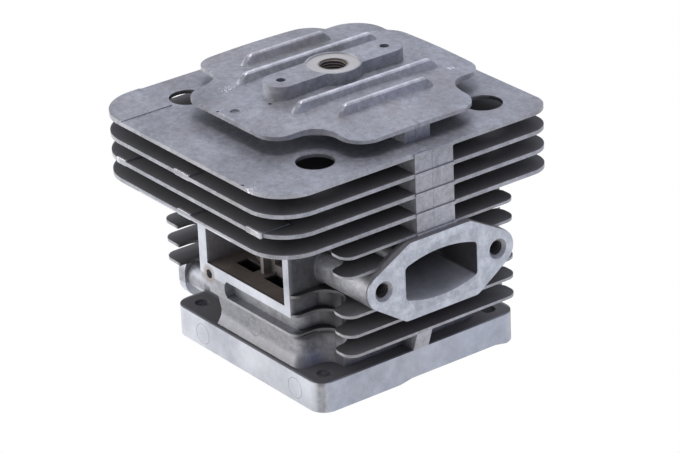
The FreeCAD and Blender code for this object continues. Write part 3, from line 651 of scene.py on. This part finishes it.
# From foot to crest: half width, how far the ends draw in, level.
RIB_PROFILE = ((3.2, -0.5, 94.6), (2.2, 0.2, 95.7), (1.65, 0.8, 96.8), (1.35, 1.8, 97.8),
               (1.1, 2.9, 98.6), (0.75, 3.5, 99.1), (0.3, 4.2, 99.3))
# Rings from this one up are rubbed bright and carry a painted highlight.
CREST_HIGHLIGHT_RING = 4
RIB_END_STEPS = 8


def long_ring(across, start, end, half, level):
    """A line along y with round ends, at one level."""
    points = []
    for centre, sense in ((end - half, 1), (start + half, -1)):
        for step in range(RIB_END_STEPS + 1):
            angle = math.pi * step / RIB_END_STEPS
            point = Vector((across + sense * half * math.cos(angle),
                            centre + sense * half * math.sin(angle), level))
            points.append(point * MM)
    return points


def soft_rib(name, across, start, end):
    rings = [long_ring(across, start + draw, end - draw, half, level)
             for half, draw, level in RIB_PROFILE]
    count = len(rings[0])
    total = count * len(rings)
    faces = [(low_ring + i, low_ring + (i + 1) % count,
              low_ring + count + (i + 1) % count, low_ring + count + i)
             for low_ring in range(0, total - count, count) for i in range(count)]
    faces.append(tuple(range(count))[::-1])
    faces.append(tuple(range(total - count, total)))
    mesh = bpy.data.meshes.new(name)
    mesh.from_pydata([point for ring in rings for point in ring], [], faces)
    mesh.materials.append(METAL)
    mesh.materials.append(EDGE_WEAR_AND_HIGHLIGHT)
    for face in mesh.polygons:
        # Upper rings take the lighter metal: wear, and a painted highlight on the crest.
        face.material_index = int(min(face.vertices) >= CREST_HIGHLIGHT_RING * count)
    mesh.shade_smooth()
    return finish(bpy.data.objects.new(name, mesh))


for number, rib in enumerate(RIBS):
    made_rib = soft_rib(f"plate_rib_{number}", *rib)
    print(made_rib.name, "has", len(made_rib.data.polygons), "faces")

# %% [markdown]
# ## Flash and lips on the fins' edges
# Where the slides of the die meet, the fins' outer edges carry small raised lands. Each
# fin's edge runs on across the post as a thin lip, and the plate keeps the stub of its
# gate. They are plain bars with softened edges, so one function makes them all, from a
# low and a high corner.

# %% Lands, lips and gate
# Fin counted down from the top one, which is 0, then the land's two ends along x.
LANDS = ((1, -3.4, 4.6), (2, -37.7, -32.5), (2, 36.0, 43.6), (3, -2.9, 4.1))
LAND_DEPTH, LAND_DROP, LAND_RISE = 0.9, 1.65, 0.42
# The lands stay this far inside the fins' reach, so the part grows no wider.
LAND_INSET = 0.02
LIP_FINS = 5
LIP_BACK, LIP_OUT, LIP_SIDE = 0.6, 0.5, 0.3
LIP_DROP, LIP_SETBACK = 1.3, 0.04
GATE_LOW, GATE_HIGH = (-4.6, -44.15, 93.4), (4.2, -43.4, 94.95)
BAR_EDGE = 0.12


def block(name, low_corner, high_corner, material):
    """A small bar with softened edges."""
    mesh = bpy.data.meshes.new(name)
    size = Vector(high_corner) - Vector(low_corner)
    middle = Vector(low_corner) + size / 2
    work = bmesh.new()
    bmesh.ops.create_cube(work, size=1.0)
    bmesh.ops.scale(work, vec=size * MM, verts=work.verts)
    bmesh.ops.translate(work, vec=middle * MM, verts=work.verts)
    bmesh.ops.bevel(work, geom=work.edges[:], offset=BAR_EDGE * MM, segments=2, profile=0.5,
                    affect="EDGES")
    work.to_mesh(mesh)
    work.free()
    mesh.materials.append(material)
    return finish(bpy.data.objects.new(name, mesh))


print("a land stands", LAND_RISE, "mm above its fin")

# %% Set the bars in place
for number, (fin, start, end) in enumerate(LANDS):
    top = TOP_FIN - fin * FIN_PITCH
    outer = LAND_INSET - FIN_REACH
    # The lands take the lighter edge metal: worn, and a painted highlight.
    block(f"edge_land_{number}", (start, outer, top - LAND_DROP),
          (end, outer + LAND_DEPTH, top + LAND_RISE), EDGE_WEAR_AND_HIGHLIGHT)
for fin in range(LIP_FINS):
    top = TOP_FIN - fin * FIN_PITCH
    side = POST_HALF + LIP_SIDE
    block(f"post_lip_{fin}", (FIN_FRONT - LIP_BACK, -side, top - LIP_DROP),
          (FIN_FRONT + LIP_OUT, side, top - LIP_SETBACK), METAL)
block("plate_gate_mark", GATE_LOW, GATE_HIGH, METAL)
print(len(LANDS), "lands,", LIP_FINS, "lips and the gate mark")

# %% [markdown]
# ## Threads
# A tapped hole shows a ridge that winds from its mouth inwards. A stack of rings would
# look alike from afar, but a screw could never enter it. In Geometry Nodes a Spiral curve
# is the path and a four-cornered section follows it: its foot is sunk in the drilled wall
# and its crest stands proud. The curve's normals are kept level, so the section always
# points at the axis. The tree's inputs are the sizes that a tap has.

# %% A tree that winds a thread
STEPS_PER_TURN = 36
FOOT_DEPTH = 0.1
# The section's corners along the axis, as shares of the pitch.
FOOT_SHARE, CREST_SHARE = 0.5, 0.08
THREAD_SIZES = ("Drilled radius", "Pitch", "Length", "Crest")


def thread_tree():
    tree = bpy.data.node_groups.new("wound_thread", "GeometryNodeTree")
    tree.interface.new_socket("Geometry", in_out="OUTPUT", socket_type="NodeSocketGeometry")
    for title in THREAD_SIZES:
        tree.interface.new_socket(title, in_out="INPUT", socket_type="NodeSocketFloat")
    given = node(tree, "NodeGroupInput").outputs
    turns = node(tree, "ShaderNodeMath", {0: given["Length"], 1: given["Pitch"]},
                 operation="DIVIDE").outputs[0]
    spiral = node(tree, "GeometryNodeCurveSpiral", {
        "Resolution": STEPS_PER_TURN, "Rotations": turns, "Height": given["Length"],
        "Start Radius": given["Drilled radius"], "End Radius": given["Drilled radius"],
        "Reverse": True})
    path = node(tree, "GeometryNodeSetCurveNormal", {"Curve": spiral.outputs["Curve"]},
                mode="Z_UP")
    crest = weighted(tree, 0.0, (given["Crest"], -1.0))
    section = node(tree, "GeometryNodeCurvePrimitiveQuadrilateral", mode="POINTS")
    corners = ((FOOT_DEPTH * MM, -FOOT_SHARE), (crest, -CREST_SHARE), (crest, CREST_SHARE),
               (FOOT_DEPTH * MM, FOOT_SHARE))
    for number, (outward, share) in enumerate(corners, start=1):
        along = weighted(tree, 0.0, (given["Pitch"], share))
        corner = node(tree, "ShaderNodeCombineXYZ", {"X": outward, "Y": along})
        plug(tree, section.inputs[f"Point {number}"], corner.outputs[0])
    swept = node(tree, "GeometryNodeCurveToMesh", {
        "Curve": path.outputs["Curve"], "Profile Curve": section.outputs["Curve"],
        "Fill Caps": True})
    real = node(tree, "GeometryNodeRealizeInstances", {"Geometry": swept.outputs["Mesh"]})
    dressed = node(tree, "GeometryNodeSetMaterial", {
        "Geometry": real.outputs["Geometry"], "Material": METAL})
    node(tree, "NodeGroupOutput", {"Geometry": dressed.outputs["Geometry"]})
    return tree


THREAD_TREE = thread_tree()
print("thread tree has", len(THREAD_TREE.nodes), "nodes")


# %% Wind the three threads
def wound(sizes):
    """The plain mesh that the thread tree makes from its sizes, along +Z from the origin."""
    blank = bpy.data.meshes.new("blank")
    holder = bpy.data.objects.new("winding", blank)
    bpy.context.scene.collection.objects.link(holder)
    modifier = holder.modifiers.new("winding", "NODES")
    modifier.node_group = THREAD_TREE
    for item in THREAD_TREE.interface.items_tree:
        if item.name in sizes:
            modifier[item.identifier] = sizes[item.name] * MM
    graph = bpy.context.evaluated_depsgraph_get()
    mesh = bpy.data.meshes.new_from_object(holder.evaluated_get(graph))
    bpy.data.objects.remove(holder)
    bpy.data.meshes.remove(blank)
    return mesh


def thread(name, mouth, inward, drilled, pitch, length, crest):
    """A thread cut along inward (a unit vector) from a hole's mouth."""
    mesh = wound({"Drilled radius": drilled, "Pitch": pitch, "Length": length, "Crest": crest})
    mesh.name = name
    axis = Vector(inward)
    first = axis.orthogonal().normalized()
    turn = Matrix((first, axis.cross(first), axis)).transposed().to_4x4()
    start = (Vector(mouth) + axis * pitch * FOOT_SHARE) * MM
    mesh.transform(Matrix.Translation(start) @ turn)
    work = bmesh.new()
    work.from_mesh(mesh)
    bmesh.ops.recalc_face_normals(work, faces=work.faces)
    work.to_mesh(mesh)
    work.free()
    print(name, "has", len(mesh.polygons), "faces")
    return finish(bpy.data.objects.new(name, mesh))


# Drilled radius, pitch, length and crest of each kind of thread.
PLUG_TAP = (4.7, 1.0, 15.0, 0.42)
SCREW_TAP = (2.5, 1.0, 12.0, 0.22)
# How far inside the face each thread starts, behind the countersink.
PLUG_INSET, SCREW_INSET = 0.5, 1.2

thread("plug_thread", (0, 0, SEAT_TOP - PLUG_INSET), (0, 0, -1), *PLUG_TAP)
for side in (-1, 1):
    mouth = (EXHAUST_FACE - SCREW_INSET, side * EXHAUST_SCREW, EXHAUST_AXIS)
    thread(f"exhaust_thread_{side}", mouth, (-1, 0, 0), *SCREW_TAP)

# %% [markdown]
# ## Studio
# A metal part shows what is round it, so it is easiest to read in a light tent: a soft
# glow from all sides and a bright table under it. Lamps alone would leave black
# reflections. Both glows are set for the shades of the part, and what the camera sees of
# them is turned to plain white with Light Path, which tells camera rays from the rest.

# %% Surround and table
SURROUND_GLOW = 0.85
TABLE_GLOW = 1.6
TABLE_REACH = 2.0


def surround():
    """Cool soft light for the part, white for the camera."""
    world = bpy.data.worlds.new("surround")
    bpy.context.scene.world = world
    world.use_nodes = True
    tree = world.node_tree
    glow = tree.nodes["Background"]
    plug(tree, glow.inputs["Color"], "e4e8f6")
    plug(tree, glow.inputs["Strength"], SURROUND_GLOW)
    white = node(tree, "ShaderNodeBackground", {"Color": "ffffff", "Strength": 1.0})
    seen = node(tree, "ShaderNodeLightPath").outputs["Is Camera Ray"]
    choice = node(tree, "ShaderNodeMixShader",
                  {0: seen, 1: glow.outputs[0], 2: white.outputs[0]})
    plug(tree, tree.nodes["World Output"].inputs["Surface"], choice.outputs[0])


def table():
    """A white table at the foot of the part that also glows on it from below."""
    mesh = bpy.data.meshes.new("floor")
    corners = [(x * TABLE_REACH, y * TABLE_REACH, 0)
               for x, y in ((-1, -1), (1, -1), (1, 1), (-1, 1))]
    mesh.from_pydata(corners, [], [(0, 1, 2, 3)])
    floor = bpy.data.objects.new("floor", mesh)
    bpy.context.scene.collection.objects.link(floor)
    paper = bpy.data.materials.new("paper")
    paper.use_nodes = True
    tree = paper.node_tree
    tree.nodes.remove(tree.nodes["Principled BSDF"])
    seen = node(tree, "ShaderNodeLightPath").outputs["Is Camera Ray"]
    strength = node(tree, "ShaderNodeMapRange",
                    {"Value": seen, "To Min": TABLE_GLOW, "To Max": 1.0}).outputs["Result"]
    light = node(tree, "ShaderNodeEmission", {"Color": "ffffff", "Strength": strength})
    plug(tree, tree.nodes["Material Output"].inputs["Surface"], light.outputs[0])
    mesh.materials.append(paper)


bpy.context.scene.view_settings.view_transform = "Standard"
surround()
table()
print("surround at", SURROUND_GLOW, "and table at", TABLE_GLOW)

# %% [markdown]
# ## Lamps
# The tent alone would leave the form flat. Two low lamps on the left lift the foot and
# the open box, a cool one on the right tints the exhaust side, and two from above draw
# the plate and its ribs. Each sits on a sphere round the part and looks at its middle.

# %% Lamps
LAMP_DISTANCE = 0.7
# Name, azimuth from -Y towards +X, elevation, watts, width in metres and colour.
LAMPS = (
    ("low_left", -20, 4, 1.7, 0.35, "ffffff"),
    ("rear_left", -55, 8, 3.4, 0.35, "ffffff"),
    ("low_right", 105, 4, 0.62, 0.35, "86a2ff"),
    ("top", 40, 85, 2.9, 0.3, "fbfaff"),
    ("rear_top", 220, 50, 0.9, 0.4, "eef2ff"),
)


def direction(azimuth, elevation):
    """The unit vector from the part towards a place on the sphere round it."""
    a, e = math.radians(azimuth), math.radians(elevation)
    return Vector((math.sin(a) * math.cos(e), -math.cos(a) * math.cos(e), math.sin(e)))


def soft_light(name, azimuth, elevation, power, size, colour):
    middle = sum(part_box(CASTING), Vector()) / 2
    towards = direction(azimuth, elevation)
    lamp = bpy.data.lights.new(name, "AREA")
    lamp.energy = power
    lamp.size = size
    lamp.color = linear(colour)[:3]
    holder = bpy.data.objects.new(name, lamp)
    holder.location = middle + towards * LAMP_DISTANCE
    holder.rotation_euler = (-towards).to_track_quat("-Z", "Y").to_euler()
    bpy.context.scene.collection.objects.link(holder)


for lamp_setting in LAMPS:
    soft_light(*lamp_setting)
print(len(LAMPS), "lamps")

# %% [markdown]
# ## Camera
# A long lens from well back keeps the fins nearly parallel. It looks down on the exhaust
# side and the open box, which tell the most about the part, and leans a little to one
# side. Where it stands is a direction and a distance, and two shifts across the view put
# the part in the frame.

# %% Camera
CAMERA_AZIMUTH, CAMERA_ELEVATION = 53.877, 25.205
CAMERA_ROLL = -2.654
CAMERA_DISTANCE = 1221.268
SHIFT_RIGHT, SHIFT_UP = 1.937, -37.095
FOCAL_LENGTH, SENSOR_WIDTH = 187.68, 36.0


def camera():
    back = direction(CAMERA_AZIMUTH, CAMERA_ELEVATION)
    azimuth = math.radians(CAMERA_AZIMUTH)
    roll = math.radians(CAMERA_ROLL)
    level_right = Vector((math.cos(azimuth), math.sin(azimuth), 0))
    level_up = back.cross(level_right)
    right = level_right * math.cos(roll) + level_up * math.sin(roll)
    up = level_up * math.cos(roll) - level_right * math.sin(roll)
    place = (back * CAMERA_DISTANCE - right * SHIFT_RIGHT - up * SHIFT_UP) * MM
    lens = bpy.data.cameras.new("camera")
    lens.sensor_width = SENSOR_WIDTH
    lens.lens = FOCAL_LENGTH
    lens.clip_start = 0.05
    holder = bpy.data.objects.new("camera", lens)
    turn = Matrix((right, up, back)).transposed().to_4x4()
    holder.matrix_world = Matrix.Translation(place) @ turn
    bpy.context.scene.collection.objects.link(holder)
    bpy.context.scene.camera = holder


camera()
print("camera", round(CAMERA_DISTANCE), "mm away with a", round(FOCAL_LENGTH), "mm lens")
